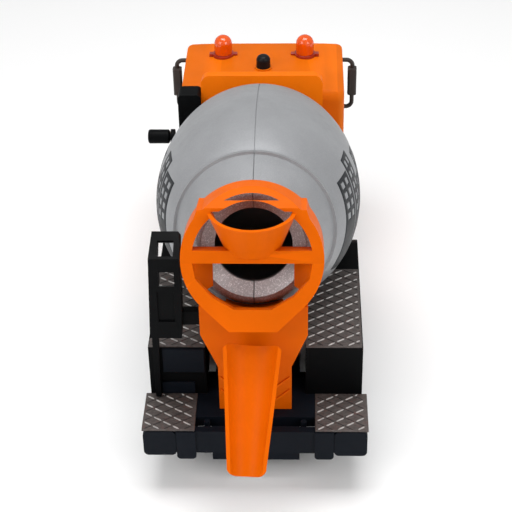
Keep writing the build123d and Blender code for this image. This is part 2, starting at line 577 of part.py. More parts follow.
# ---- cab ----
def cab_outline(inset):
    """Side outline of the cab as (Y, Z), inset from the outside."""
    back, front, roof = CAB_BACK_Y + inset, CAB_FRONT_Y - inset, CAB_ROOF_Z - inset
    low = CAB_BOTTOM_Z - 1 if inset else CAB_BOTTOM_Z
    face = make_face(Polyline((back, low), (back, roof), (front - 4.0, roof), (front, 74), (front, 40),
                              (front - 6, 40), (front - 6, low), close=True))
    corners = [v for v in face.vertices() if v.Y > roof - 1]
    return fillet(corners, 8.0 - inset)


def cab_block(inset):
    half = CAB_HALF - inset
    body = Pos(-half, 0, 0) * extrude(Plane.YZ * cab_outline(inset), 2 * half)
    crown = Pos(0, 80, CAB_ROOF_Z - inset - ROOF_CROWN_R) * Rot(90, 0, 0) * Cylinder(ROOF_CROWN_R, 200)
    if inset < CAB_WALL:
        sides = [e for e in body.edges() if abs(abs(e.center().X) - half) < 0.01 and e.center().Z > 41]
        body = fillet(sides, 4.0 - inset)
    return body & crown


def window_boxes():
    """Openings of the windscreen and the two side windows."""
    screen = block((-38.0, 38.0), (CAB_FRONT_Y - 14, CAB_FRONT_Y + 4), (77.0, 107.0))
    screen = round_edges(screen, Axis.Y, 4.0)
    sides = side_prism([(72.0, 78.0), (112.0, 74.0), (108.0, 106.0), (74.0, 107.0)], (-60.0, 60.0))
    return screen, sides


def cab_shell():
    """Outer cab moulding, open below, with windows, arches and the button's seat."""
    shell = cab_block(0) - cab_block(CAB_WALL)
    screen, sides = window_boxes()
    arch = x_rod(ARCH_R + 1.0, (-60, 60), AXLE_Y["front"], WHEEL_R)
    frame_slot = block((-FRAME_HALF, FRAME_HALF), (CAB_BACK_Y - 1, CAB_FRONT_Y), (0, FRAME_Z[1]))
    shell = shell - screen - sides - arch - frame_slot
    guide = z_rod(BUTTON_R + 2.2, 0, BUTTON_Y, (CAB_ROOF_Z - 7.0, CAB_ROOF_Z - 1))
    seat = z_rod(BUTTON_R + 1.0, 0, BUTTON_Y, (CAB_ROOF_Z - 1, CAB_ROOF_Z + 0.8))
    bore = z_rod(BUTTON_R + 0.08, 0, BUTTON_Y, (CAB_ROOF_Z - 9, CAB_ROOF_Z + 3))
    sockets = [z_rod(2.2, side * BEACON_X, BEACON_Y, (CAB_ROOF_Z - 6, CAB_ROOF_Z + 2)) for side in (-1, 1)]
    handle = block((CAB_HALF - 0.5, CAB_HALF + 1.2), (76.0, 88.0), (66.0, 67.6))
    posts = [z_rod(2.0, side * 17.0, BUTTON_Y + 8.0, (BOARD_Z + 1.6, CAB_ROOF_Z - 1)) for side in (-1, 1)]
    return shell + guide + seat + handle + left_of(handle) + posts - bore - sockets


def cab_glazing():
    """Windscreen and side windows, flush in their openings."""
    skin = cab_block(0.4) - cab_block(CAB_WALL - 0.4)
    screen, sides = window_boxes()
    panes = (skin & screen).solids() + (skin & sides).solids()
    return group([p for p in panes if p.volume > 50])


def cab_interior():
    """Floor tray with two seats, dashboard and steering wheel."""
    side = CAB_HALF - CAB_WALL
    floor = block((-side, side), (55.0, 114.0), (47.0, 49.0))
    parts = [floor, block((-43.0, 43.0), (102.0, 113.0), (48.5, 72.0))]
    for side in (-1, 1):
        x = sorted((side * 9.0, side * 37.0))
        parts.append(block(x, (64.0, 84.0), (48.5, 60.0)))
        parts.append(block(x, (60.0, 66.0), (48.5, 88.0)))
    column = Pos(-23, 98, 71) * Rot(35, 0, 0) * Cylinder(1.6, 24)
    wheel = Pos(-23, 92, 79.5) * Rot(35, 0, 0) * Torus(9.0, 1.2)
    spoke = Pos(-23, 92, 79.5) * Rot(35, 0, 0) * Box(18.0, 2.4, 1.6)
    return Part() + parts + column + wheel + spoke


def front_grille():
    """Slatted panel under the windscreen."""
    panel = block((-34.0, 34.0), (CAB_FRONT_Y, CAB_FRONT_Y + 1.6), (43.0, 69.0))
    slats = [block((-32.0, 32.0), (CAB_FRONT_Y + 0.6, CAB_FRONT_Y + 3), (z, z + 2.2)) for z in range(45, 68, 4)]
    return panel - slats


def front_bumper():
    y = CAB_FRONT_Y - 5.8
    body = block((-CAB_HALF, CAB_HALF), (y, CAB_FRONT_Y + 4.0), (15.0, 38.0))
    body = round_edges(body, Axis.Z, 4.0, lambda e: e.center().Y > CAB_FRONT_Y)
    body -= [block(sorted((s * 29.0, s * 43.0)), (CAB_FRONT_Y + 2.0, CAB_FRONT_Y + 6), (23.0, 33.0)) for s in (-1, 1)]
    body -= block((-20.0, 20.0), (CAB_FRONT_Y + 2.0, CAB_FRONT_Y + 6), (21.0, 27.0))
    bearer = block((-20.0, 20.0), (114.0, y + 1), (20.0, 32.0))
    return body + bearer


def headlight_lenses():
    lens = block((29.2, 42.8), (CAB_FRONT_Y + 2.0, CAB_FRONT_Y + 4.4), (23.2, 32.8))
    lens = round_edges(lens, Axis.Y, 1.5)
    return group([lens, left_of(lens)])


def mirror_arm(side):
    """Tube bracket and mirror head beside the cab."""
    x, y = 53.6, 102.0
    path = FilletPolyline((CAB_HALF - 2.0, y, 114.0), (x, y, 114.0), (x, y, 82.0), (CAB_HALF - 1.0, y, 82.0),
                          radius=3.6)
    tube = sweep(Plane(origin=(CAB_HALF - 2.0, y, 114.0), z_dir=(1, 0, 0)) * Circle(1.3), path=path)
    head = block((x - 2.8, x + 2.6), (y - 3.4, y + 2.2), (91.5, 109.0))
    head = fillet(head.edges().filter_by(Axis.Z), 1.4)
    body = tube + head - cab_block(0)
    body = max(body.solids(), key=lambda s: s.volume)
    return body if side > 0 else left_of(body)


def beacon_lens():
    """Amber dome: a straight skirt with a rounded cap."""
    z0 = CAB_ROOF_Z + 0.9
    outer = z_rod(BEACON_R, 0, 0, (z0, z0 + 6.0)) + Pos(0, 0, z0 + 6.0) * Sphere(BEACON_R)
    inner = z_rod(BEACON_R - 1.1, 0, 0, (z0 - 8, z0 + 6.0)) + Pos(0, 0, z0 + 6.0) * Sphere(BEACON_R - 1.1)
    dome = outer - inner
    return dome - block((-9, 9), (-9, 9), (z0 - 12, z0))


def beacon_bases():
    """Dark-red base rings, each with two tabs and a lamp post, seated on the roof."""
    z0, x, y = CAB_ROOF_Z - 1.4, BEACON_X, BEACON_Y
    ring = z_rod(BEACON_R + 0.9, x, y, (z0, CAB_ROOF_Z + 0.9))
    tabs = block((x - BEACON_R - 3.0, x + BEACON_R + 3.0), (y - 1.6, y + 1.6), (z0, CAB_ROOF_Z + 0.7))
    stem = z_rod(2.2, x, y, (z0 - 4.0, z0 + 2.2)) + z_rod(1.8, x, y, (z0, z0 + 6.5))
    base = ring + tabs + stem - (cab_block(0) - z_rod(2.2, x, y, (100, 130)))
    base = max(base.solids(), key=lambda s: s.volume)
    return group([base, left_of(base)])


def roof_button():
    """Sound button: rounded cap, skirt and a retaining flange under the guide."""
    z0 = CAB_ROOF_Z
    cap = z_rod(BUTTON_R, 0, BUTTON_Y, (z0 - 8.2, z0 + 8.4))
    cap = fillet(cap.edges().filter_by(GeomType.CIRCLE).sort_by(Axis.Z)[-1:], 3.4)
    flange = z_rod(BUTTON_R + 1.2, 0, BUTTON_Y, (z0 - 8.8, z0 - 7.4))
    stem = z_rod(1.4, 0, BUTTON_Y, (z0 - 13.0, z0 - 8.8))
    return cap + flange + stem


def sound_board():
    """Circuit board on the roof's posts, with the switch under the button."""
    board = block((-20.0, 20.0), (66.0, 92.0), (BOARD_Z, BOARD_Z + 1.6))
    switch = z_rod(2.6, 0, BUTTON_Y, (BOARD_Z + 1.6, BOARD_Z + 3.4))
    return board + switch


def button_spring():
    """Coil spring round the button's stem, between the board and the flange."""
    low, high = CAB_ROOF_Z - 17.4, CAB_ROOF_Z - 9.0
    turns = 4
    helix = Helix(pitch=(high - low - 0.7) / turns, height=high - low - 0.7, radius=3.4,
                  center=(0, BUTTON_Y, low + 0.35))
    wire = sweep(Plane(origin=helix @ 0, z_dir=helix % 0) * Circle(0.3), path=helix)
    return wire


def speaker():
    """Round speaker fixed under the sound board."""
    frame = z_rod(11.0, 0, BUTTON_Y, (BOARD_Z - 3.6, BOARD_Z))
    frame -= z_rod(9.2, 0, BUTTON_Y, (BOARD_Z - 3.7, BOARD_Z - 1.2))
    cone = z_rod(4.0, 0, BUTTON_Y, (BOARD_Z - 2.8, BOARD_Z - 1.1))
    return frame + cone


def battery_box():
    """Open tray inside the frame for three button cells."""
    tray = block((-17.0, 17.0), (2.0, 26.0), (18.0, FRAME_Z[1] - WALL))
    wells = [z_rod(5.9, x, 14.0, (10.0, 27.0)) for x in (-11.2, 0.0, 11.2)]
    return tray - wells


def battery_cells():
    return group(z_rod(5.7, x, 14.0, (20.6, 26.0)) for x in (-11.2, 0.0, 11.2))


def battery_cover():
    """Flat sliding cover flush with the frame's lower edge, with finger grooves."""
    plate = block((-FRAME_HALF + WALL, FRAME_HALF - WALL), (-2.0, 30.0), (FRAME_Z[0], 15.0))
    pads = [z_rod(3.0, x, 14.0, (14.9, 20.6)) for x in (-11.2, 0.0, 11.2)]
    grips = [block((-8.0, 8.0), (y, y + 1.0), (FRAME_Z[0] - 1, FRAME_Z[0] + 0.6)) for y in (24.0, 26.0, 28.0)]
    return plate + pads - grips


def fuel_tank():
    """Round-edged tank on the left between fender and cab."""
    body = block((-53.0, -27.0), (-14.0, 17.0), (20.0, 42.0))
    body = round_edges(body, Axis.Y, 5.0)
    bracket = block((-28.0, -FRAME_HALF), (-6.0, 10.0), (27.0, 32.0))
    cap = z_rod(3.2, -44.0, 10.0, (41.5, 44.0))
    return body + bracket + cap


def air_tanks():
    """Two air tanks on the right, hung from the frame on one bracket."""
    tanks = [Pos(41.0, 1.5, z) * Rot(90, 0, 0) * Cylinder(6.0, 31.0) for z in (20.5, 32.8)]
    tanks = [fillet(t.edges().filter_by(GeomType.CIRCLE), 1.8) for t in tanks]
    bracket = block((FRAME_HALF, 38.0), (-4.0, 8.0), (18.0, 32.0))
    return Part() + tanks + bracket


def screw(x, y, z, length):
    """Pan-head self-tapping screw pointing up, with its head below z."""
    return z_rod(SCREW_R, x, y, (z, z + length)) + z_rod(SCREW_R * 1.9, x, y, (z - 1.4, z))


def frame_screws():
    """Screws that hold the two pedestals down through the frame's top plate."""
    return group(screw(x, y, FRAME_Z[1] - WALL, 7.6 if y > 0 else 13.0) for x, y in SCREW_SPOTS)


# ---- all nodes ----
def place_beacon(shape, side):
    return Pos(side * BEACON_X, BEACON_Y, 0) * shape


def all_nodes():
    nodes = {
        "drum_shell_left": drum_half(-1), "drum_shell_right": drum_half(1),
        "drum_shaft": drum_shaft(), "crown_gear": crown_gear(),
        "crank_shaft": crank_shaft(), "crank_pinion": crank_pinion(),
        "crank_arm": crank_arm(), "crank_knob": crank_knob(),
        "front_pedestal": front_pedestal(), "pedestal_cover": pedestal_cover(), "air_stack": air_stack(),
        "hopper_hood": hopper_hood(), "collector_ring": collector_ring(), "rear_pedestal": rear_pedestal(),
        "chute": chute(), "chute_pin": chute_pin(), "chute_swivel": chute_swivel(), "ladder": ladder(),
        "chassis_frame": chassis_frame(), "rear_bumper": rear_bumper(),
        "cab_shell": cab_shell(), "cab_glazing": cab_glazing(), "cab_interior": cab_interior(),
        "front_grille": front_grille(), "front_bumper": front_bumper(), "headlight_lenses": headlight_lenses(),
        "roof_button": roof_button(), "sound_board": sound_board(), "button_spring": button_spring(),
        "speaker": speaker(), "battery_box": battery_box(), "battery_cells": battery_cells(),
        "battery_cover": battery_cover(), "fuel_tank": fuel_tank(), "air_tanks": air_tanks(),
        "rear_lockers": rear_lockers(),
        "frame_screws": frame_screws(),
        "beacon_bases": beacon_bases(),
    }
    for side, word in ((-1, "left"), (1, "right")):
        nodes[f"fender_{word}"] = fender(side)
        nodes[f"step_{word}"] = step(side)
        nodes[f"tread_upper_{word}"] = upper_tread(side)
        nodes[f"tread_lower_{word}"] = lower_tread(side)
        nodes[f"mirror_{word}"] = mirror_arm(side)
        nodes[f"beacon_{word}"] = place_beacon(beacon_lens(), side)
    for name in AXLE_Y:
        nodes[f"{name}_axle"] = axle(name)
        nodes[f"{name}_rims"] = wheel_pair(name, rim)
        nodes[f"{name}_tyres"] = wheel_pair(name, tyre)
    return nodes


os.makedirs("parts", exist_ok=True)
for node_name, shape in all_nodes().items():
    export_step(shape, f"parts/{node_name}.step")
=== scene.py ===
"""Looks for the toy truck mixer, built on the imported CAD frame. Metres, +Z up, +Y towards the cab."""
import json
import math

import bmesh
import bpy
from mathutils import Matrix, Vector
from mathutils.bvhtree import BVHTree


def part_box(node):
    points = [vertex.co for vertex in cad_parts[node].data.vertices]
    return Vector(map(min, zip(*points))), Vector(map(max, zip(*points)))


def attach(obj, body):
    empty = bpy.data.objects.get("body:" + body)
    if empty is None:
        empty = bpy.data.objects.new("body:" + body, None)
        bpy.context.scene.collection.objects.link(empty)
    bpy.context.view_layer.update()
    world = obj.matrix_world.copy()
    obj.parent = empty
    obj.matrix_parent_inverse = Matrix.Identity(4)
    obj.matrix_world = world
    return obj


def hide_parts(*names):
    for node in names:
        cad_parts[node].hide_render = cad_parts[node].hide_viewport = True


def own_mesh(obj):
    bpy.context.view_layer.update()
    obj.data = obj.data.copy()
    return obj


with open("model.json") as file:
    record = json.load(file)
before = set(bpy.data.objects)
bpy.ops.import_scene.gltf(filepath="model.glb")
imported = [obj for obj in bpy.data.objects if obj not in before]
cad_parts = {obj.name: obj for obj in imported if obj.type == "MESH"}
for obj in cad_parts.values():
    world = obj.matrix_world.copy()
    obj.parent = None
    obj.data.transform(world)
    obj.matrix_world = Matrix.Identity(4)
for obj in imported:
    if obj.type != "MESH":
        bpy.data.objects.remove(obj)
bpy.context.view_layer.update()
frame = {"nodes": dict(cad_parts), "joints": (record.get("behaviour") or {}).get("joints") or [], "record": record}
NODES = frame["nodes"]
RECORD = frame["record"]
MM = 0.001
SHARP_ANGLE = math.radians(32)

# The drum's axis runs forward and down from the middle of its mouth.
JOINTS = {joint["name"]: joint for joint in frame["joints"]}
MOUTH = Vector(JOINTS["drum_spin"]["pos_m"])
AXIS = Vector(JOINTS["drum_spin"]["axis"]).normalized()
DRUM_UP = Vector((1, 0, 0)).cross(AXIS)


# ---- materials ----
class Shader:
    """One Principled material, with short helpers for its procedural nodes."""

    def __init__(self, name, **values):
        self.material = bpy.data.materials.new(name)
        self.material.use_nodes = True
        self.tree = self.material.node_tree
        self.surface = self.tree.nodes["Principled BSDF"]
        for key, value in values.items():
            self.surface.inputs[key.replace("_", " ")].default_value = value
        self.place = self.tree.nodes.new("ShaderNodeTexCoord").outputs["Object"]

    def link(self, source, socket):
        self.tree.links.new(source, socket)

    def noise(self, size, detail=3.0, rough=0.55, stretch=None):
        """Noise whose features are about `size` metres across."""
        node = self.tree.nodes.new("ShaderNodeTexNoise")
        node.inputs["Scale"].default_value = 1.0 / size
        node.inputs["Detail"].default_value = detail
        node.inputs["Roughness"].default_value = rough
        if stretch:
            mapping = self.tree.nodes.new("ShaderNodeMapping")
            mapping.inputs["Scale"].default_value = stretch
            self.link(self.place, mapping.inputs["Vector"])
            self.link(mapping.outputs["Vector"], node.inputs["Vector"])
        else:
            self.link(self.place, node.inputs["Vector"])
        return node.outputs["Fac"]

    def cells(self, size):
        """Random value for each cell of about `size` metres."""
        node = self.tree.nodes.new("ShaderNodeTexVoronoi")
        node.inputs["Scale"].default_value = 1.0 / size
        self.link(self.place, node.inputs["Vector"])
        return node.outputs["Color"]

    def spread(self, source, low, high, start=0.3, end=0.7):
        """Map a 0 to 1 source onto low to high."""
        node = self.tree.nodes.new("ShaderNodeMapRange")
        for key, value in (("From Min", start), ("From Max", end), ("To Min", low), ("To Max", high)):
            node.inputs[key].default_value = value
        self.link(source, node.inputs["Value"])
        return node.outputs["Result"]

    def blend(self, factor, first, second):
        """Mix two colours, each a tuple or a socket."""
        node = self.tree.nodes.new("ShaderNodeMix")
        node.data_type = "RGBA"
        self.link(factor, node.inputs["Factor"])
        for index, value in ((6, first), (7, second)):
            if isinstance(value, tuple):
                node.inputs[index].default_value = (*value, 1.0)
            else:
                self.link(value, node.inputs[index])
        return node.outputs[2]

    def edges(self, start=0.52, end=0.62):
        """High on worn outer edges."""
        geometry = self.tree.nodes.new("ShaderNodeNewGeometry")
        return self.spread(geometry.outputs["Pointiness"], 0.0, 1.0, start, end)

    def bump(self, *layers):
        """Stack bumps of (height source, depth in metres, strength)."""
        normal = None
        for source, depth, strength in layers:
            node = self.tree.nodes.new("ShaderNodeBump")
            node.inputs["Distance"].default_value = depth
            node.inputs["Strength"].default_value = strength
            self.link(source, node.inputs["Height"])
            if normal:
                self.link(normal, node.inputs["Normal"])
            normal = node.outputs["Normal"]
        self.link(normal, self.surface.inputs["Normal"])


def tint(colour, factor):
    return tuple(min(1.0, channel * factor) for channel in colour)


def moulded(name, colour, roughness, coat=0.0, grain=0.35, glow=0.0, specular=0.5):
    """Injection-moulded plastic: cloudy colour, fine skin grain, handling marks and paler edges."""
    shader = Shader(name, Coat_Weight=coat, Coat_Roughness=0.12, IOR=1.48, Specular_IOR_Level=specular)
    if glow:
        shader.surface.inputs["Subsurface Weight"].default_value = glow
        shader.surface.inputs["Subsurface Radius"].default_value = (1.0, 0.35, 0.1)
        shader.surface.inputs["Subsurface Scale"].default_value = 2.0 * MM
    clouds = shader.noise(22 * MM, detail=4)
    body = shader.blend(shader.spread(clouds, 0, 1), tint(colour, 0.93), tint(colour, 1.05))
    handling = shader.spread(shader.noise(1.6 * MM, detail=6, rough=0.7), 0, 0.16, 0.56, 0.72)
    marked = shader.blend(handling, body, tint(colour, 1.25))
    worn = shader.spread(shader.edges(), 0, 0.35, 0, 1)
    shader.link(shader.blend(worn, marked, tint(colour, 1.5)), shader.surface.inputs["Base Color"])
    smears = shader.noise(7 * MM, detail=5, rough=0.6, stretch=(1, 0.4, 1))
    shader.link(shader.spread(smears, roughness - 0.05, roughness + 0.09), shader.surface.inputs["Roughness"])
    shader.bump((shader.noise(9 * MM, detail=2), 0.12 * MM, 0.25),
                (shader.noise(0.22 * MM, detail=2), 0.02 * MM, grain))
    return shader.material


def silver_paint(name, colour, flake, depth, sparkle):
    """Fine metallic paint; a larger flake gives the rough cast look of the mouth."""
    shader = Shader(name, Metallic=0.35, Specular_IOR_Level=0.25)
    flakes = shader.cells(flake)
    clouds = shader.noise(30 * MM, detail=3)
    body = shader.blend(shader.spread(clouds, 0, 1), colour, tint(colour, 1.18))
    glint = shader.spread(flakes, 0, sparkle, 0.55, 0.95)
    bright = shader.blend(glint, body, tint(colour, 2.0))
    dark = shader.spread(shader.noise(0.5 * MM, detail=4, rough=0.7), 0, 0.25 * sparkle, 0.5, 0.75)
    shader.link(shader.blend(dark, bright, tint(colour, 0.5)), shader.surface.inputs["Base Color"])
    shader.link(shader.spread(shader.noise(5 * MM, detail=6), 0.42, 0.54), shader.surface.inputs["Roughness"])
    shader.bump((shader.noise(12 * MM, detail=2), 0.1 * MM, 0.15), (flakes, depth, 0.5))
    return shader.material


def tread_print(name, colour, speck):
    """Printed metal-look film: streaky grey with brown and red specks."""
    shader = Shader(name, Metallic=0.25, IOR=1.45)
    streaks = shader.noise(2.2 * MM, detail=6, rough=0.7, stretch=(1, 2.2, 1))
    body = shader.blend(shader.spread(streaks, 0, 1, 0.35, 0.65), tint(colour, 0.7), tint(colour, 1.3))
    rust = shader.spread(shader.noise(3.0 * MM, detail=5, rough=0.75), 0, speck, 0.55, 0.7)
    shader.link(shader.blend(rust, body, (0.16, 0.06, 0.05)), shader.surface.inputs["Base Color"])
    shader.link(shader.spread(shader.noise(1.0 * MM), 0.38, 0.6), shader.surface.inputs["Roughness"])
    shader.bump((shader.noise(0.5 * MM, detail=4), 0.05 * MM, 0.5))
    return shader.material


def clear_lens(name, colour, cover, roughness):
    """Tinted transparent moulding with faint flow marks."""
    shader = Shader(name, Transmission_Weight=cover, IOR=1.49, Coat_Weight=0.4, Coat_Roughness=0.05)
    flow = shader.noise(3 * MM, detail=3, stretch=(1, 1, 0.3))
    shader.link(shader.blend(shader.spread(flow, 0, 1), tint(colour, 0.9), tint(colour, 1.1)),
                shader.surface.inputs["Base Color"])
    haze = shader.spread(shader.noise(1.2 * MM), roughness, roughness + 0.12)
    shader.link(haze, shader.surface.inputs["Roughness"])
    shader.bump((flow, 0.15 * MM, 0.3), (shader.noise(0.4 * MM), 0.03 * MM, 0.3))
    return shader.material


def rubber(name):
    """Matt tyre rubber with dust in the pores and a scuffed crown."""
    shader = Shader(name, IOR=1.5)
    dust = shader.spread(shader.noise(1.5 * MM, detail=6, rough=0.7), 0, 0.5, 0.5, 0.75)
    body = shader.blend(dust, (0.018, 0.018, 0.02), (0.06, 0.057, 0.052))
    shader.link(shader.blend(shader.spread(shader.edges(), 0, 0.4, 0, 1), body, (0.07, 0.068, 0.065)),
                shader.surface.inputs["Base Color"])
    shader.link(shader.spread(shader.noise(4 * MM, detail=5), 0.6, 0.82), shader.surface.inputs["Roughness"])
    shader.bump((shader.noise(0.35 * MM, detail=4), 0.05 * MM, 0.6), (shader.noise(6 * MM), 0.1 * MM, 0.2))
    return shader.material


def steel(name):
    """Drawn wire and rod: fine lengthwise lines and slight tarnish."""
    shader = Shader(name, Metallic=1.0)
    lines = shader.noise(0.4 * MM, detail=5, stretch=(0.05, 1, 1))
    tarnish = shader.spread(shader.noise(4 * MM, detail=4), 0, 0.5, 0.5, 0.8)
    colour = shader.blend(tarnish, (0.56, 0.56, 0.57), (0.34, 0.31, 0.27))
    shader.link(colour, shader.surface.inputs["Base Color"])
    shader.link(shader.spread(lines, 0.25, 0.45), shader.surface.inputs["Roughness"])
    shader.bump((lines, 0.02 * MM, 0.4))
    return shader.material


def circuit(name):
    """Solder mask with darker tracks under it."""
    shader = Shader(name, Coat_Weight=0.3)
    tracks = shader.spread(shader.cells(2.5 * MM), 0, 1, 0.45, 0.55)
    colour = shader.blend(tracks, (0.01, 0.11, 0.04), (0.02, 0.2, 0.08))
    shader.link(colour, shader.surface.inputs["Base Color"])
    shader.link(shader.spread(shader.noise(2 * MM), 0.3, 0.5), shader.surface.inputs["Roughness"])
    shader.bump((tracks, 0.03 * MM, 0.3))
    return shader.material


# Base colours are linear, so they look darker here than in the render.
ORANGE = (0.68, 0.112, 0.0002)
PALE_ORANGE = (0.74, 0.145, 0.0004)
MATERIALS = {
    "orange_plastic": moulded("orange_plastic", ORANGE, 0.40, grain=0.12, glow=0.04, specular=0.05),
    "pale_orange": moulded("pale_orange", PALE_ORANGE, 0.42, grain=0.15, glow=0.04, specular=0.08),
    "cab_orange": moulded("cab_orange", (0.64, 0.125, 0.0008), 0.45, grain=0.25, glow=0.04, specular=0.1),
    "black_plastic": moulded("black_plastic", (0.0025, 0.0028, 0.0032), 0.45, grain=0.35, specular=0.06),
    "slate_plastic": moulded("slate_plastic", (0.0045, 0.0065, 0.0105), 0.48, grain=0.4, specular=0.08),
    "button_slate": moulded("button_slate", (0.007, 0.007, 0.008), 0.42, grain=0.3, specular=0.15),
    "silver_drum": silver_paint("silver_drum", (0.27, 0.275, 0.285), 0.14 * MM, 0.004 * MM, 0.3),
    "silver_mouth": silver_paint("silver_mouth", (0.40, 0.40, 0.405), 0.5 * MM, 0.09 * MM, 1.0),
    "drum_print": moulded("drum_print", (0.013, 0.015, 0.018), 0.45, grain=0.3, specular=0.2),
    "tread_grey": tread_print("tread_grey", (0.092, 0.079, 0.074), 0.5),
    # Painted light: a paler copy of the film for the ridges one way is a painted highlight, and a darker copy for
    # the ridges the other way is painted shade.
    "tread_painted_highlight": tread_print("tread_painted_highlight", (0.46, 0.445, 0.43), 0.12),
    "tread_painted_shade": tread_print("tread_painted_shade", (0.03, 0.028, 0.028), 0.2),
    "amber_lens": clear_lens("amber_lens", (1.0, 0.12, 0.0006), 0.35, 0.08),
    "red_base": moulded("red_base", (0.30, 0.018, 0.006), 0.3, coat=0.3),
    "mirror_grey": moulded("mirror_grey", (0.042, 0.034, 0.031), 0.45, grain=0.4, specular=0.2),
    "window_glass": clear_lens("window_glass", (0.10, 0.12, 0.13), 0.85, 0.04),
    "headlight_glass": clear_lens("headlight_glass", (0.9, 0.9, 0.86), 0.9, 0.05),
    "tyre_rubber": rubber("tyre_rubber"),
    "rim_silver": silver_paint("rim_silver", (0.42, 0.425, 0.435), 0.2 * MM, 0.01 * MM, 0.5),
    "steel": steel("steel"),
    "board_green": circuit("board_green"),
    "speaker_black": moulded("speaker_black", (0.02, 0.02, 0.021), 0.55, grain=0.6),
}
NODE_LOOKS = {
    "front_pedestal": "pale_orange", "pedestal_cover": "pale_orange", "cab_shell": "cab_orange",
    "roof_button": "button_slate",
}


# ---- mesh helpers ----
def slot_of(node):
    return next(part["material_slot"] for part in RECORD["subparts"] if part["node"] == node)


def body_of(node):
    bodies = RECORD["behaviour"]["bodies"]
    return next(body for body, members in bodies.items() if node in members)


def add_object(name, mesh, look, body):
    """Link a mesh as a piece that rides on a body and takes the finish named by look, unless it has one already.
    """
    piece = bpy.data.objects.new(name, mesh)
    bpy.context.scene.collection.objects.link(piece)
    if not mesh.materials:
        mesh.materials.append(MATERIALS[look])
    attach(piece, body)
    return piece


def soften(piece, width):
    """Round the sharp edges with a real bevel and even out the shading."""
    bevel = piece.modifiers.new("edge", "BEVEL")
    bevel.width = width
    bevel.segments = 2
    bevel.limit_method = "ANGLE"
    bevel.angle_limit = SHARP_ANGLE
    bevel.use_clamp_overlap = True
    bevel.miter_outer = "MITER_ARC"
    piece.modifiers.new("shading", "WEIGHTED_NORMAL").keep_sharp = True


def clean_copy(node):
    """A welded copy of a CAD node's mesh, with flat facets merged, ready for bevels."""
    mesh = NODES[node].data.copy()
    mesh.materials.clear()
    work = bmesh.new()
    work.from_mesh(mesh)
    bmesh.ops.remove_doubles(work, verts=work.verts, dist=0.004 * MM)
    bmesh.ops.dissolve_limit(work, angle_limit=math.radians(0.6), verts=work.verts, edges=work.edges)
    bmesh.ops.connect_verts_concave(work, faces=work.faces)
    for face in work.faces:
        face.smooth = True
        face.material_index = 0
    work.to_mesh(mesh)
    work.free()
    if "custom_normal" in mesh.attributes:
        mesh.attributes.remove(mesh.attributes["custom_normal"])
    mesh.set_sharp_from_angle(angle=SHARP_ANGLE)
    return mesh


def refine(node, width):
    """Replace a CAD node with a welded copy that has rounded edges and its own material."""
    look = NODE_LOOKS.get(node, slot_of(node))
    piece = add_object(f"{node}_skin", clean_copy(node), look, body_of(node))
    soften(piece, width)
    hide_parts(node)
    return piece


# ---- drum ----
def drum_tree():
    """Search tree over both halves of the drum, for laying prints on its skin."""
    work = bmesh.new()
    for node in ("drum_shell_left", "drum_shell_right"):
        work.from_mesh(NODES[node].data)
    tree = BVHTree.FromBMesh(work)
    work.free()
    return tree


DRUM_TREE = drum_tree()
INK_LIFT = 0.05 * MM
INK_THICKNESS = 0.06 * MM
MOUTH_BAND = 4.2 * MM
CLEAR_OF_DRUM = 80 * MM


def on_drum(depth, angle):
    """Point just above the drum's skin at a depth behind the mouth and an angle up from its right side."""
    out = Vector((1, 0, 0)) * math.cos(angle) + DRUM_UP * math.sin(angle)
    centre = MOUTH + AXIS * depth
    return DRUM_TREE.ray_cast(centre + out * CLEAR_OF_DRUM, -out)[0] + out * INK_LIFT


def paint_mouth(mesh):
    """Give the rim and bevel around the mouth the coarser cast finish."""
    mesh.materials.append(MATERIALS["silver_mouth"])
    for polygon in mesh.polygons:
        if (polygon.center - MOUTH).dot(AXIS) < MOUTH_BAND:
            polygon.material_index = 1


def drum_halves():
    for node in ("drum_shell_left", "drum_shell_right"):
        piece = refine(node, 0.22 * MM)
        paint_mouth(piece.data)


def printed_block(name, side, start, columns, top, base, window_rows):
    """A plain block with rows of windows, printed on the side of the drum."""
    frame_width, window_width = 2.7 * MM, 3.3 * MM
    depths = [start]
    for _ in range(columns):
        depths += [depths[-1] + frame_width, depths[-1] + frame_width + window_width]
    depths.append(depths[-1] + frame_width)
    angles = [top]
    frame_step, window_step = math.radians(2.8), math.radians(3.8)
    for _ in range(window_rows):
        angles += [angles[-1] - frame_step, angles[-1] - frame_step - window_step]
    while angles[-1] - window_step > base:
        angles.append(angles[-1] - window_step)
    angles.append(base)
    if side < 0:
        angles = [math.pi - angle for angle in angles]
    work = bmesh.new()
    grid = [[work.verts.new(on_drum(depth, angle)) for depth in depths] for angle in angles]
    for i, (row, following) in enumerate(zip(grid, grid[1:])):
        for j in range(len(depths) - 1):
            if i % 2 and j % 2 and i < 2 * window_rows:
                continue
            face = work.faces.new((row[j], row[j + 1], following[j + 1], following[j]))
            face.smooth = True
    bmesh.ops.recalc_face_normals(work, faces=work.faces)
    bmesh.ops.subdivide_edges(work, edges=work.edges, cuts=2, use_grid_fill=True)
    for vertex in work.verts:
        skin_point, normal = DRUM_TREE.find_nearest(vertex.co)[:2]
        vertex.co = skin_point + normal * INK_LIFT
    mesh = bpy.data.meshes.new(name)
    work.to_mesh(mesh)
    work.free()
    piece = add_object(name, mesh, "drum_print", "drum")
    skin = piece.modifiers.new("ink", "SOLIDIFY")
    skin.thickness = INK_THICKNESS
    skin.offset = 0


def drum_prints():
    """A row of blocks of different heights along each side of the drum."""
    degrees = math.radians
    # Each block: start behind the mouth in mm, window columns, top in degrees, window rows.
    row = [(38, 2, 27, 4), (54, 2, 33, 5), (70, 1, 16, 3), (79.5, 2, 27, 4), (95.5, 2, 20, 3),
           (111.5, 1, 29, 4)]
    foot = -34
    for side, word in ((1, "right"), (-1, "left")):
        for number, (start, columns, top, windows) in enumerate(row):
            name = f"drum_block_{word}_{number}"
            printed_block(name, side, start * MM, columns, degrees(top), degrees(foot), windows)


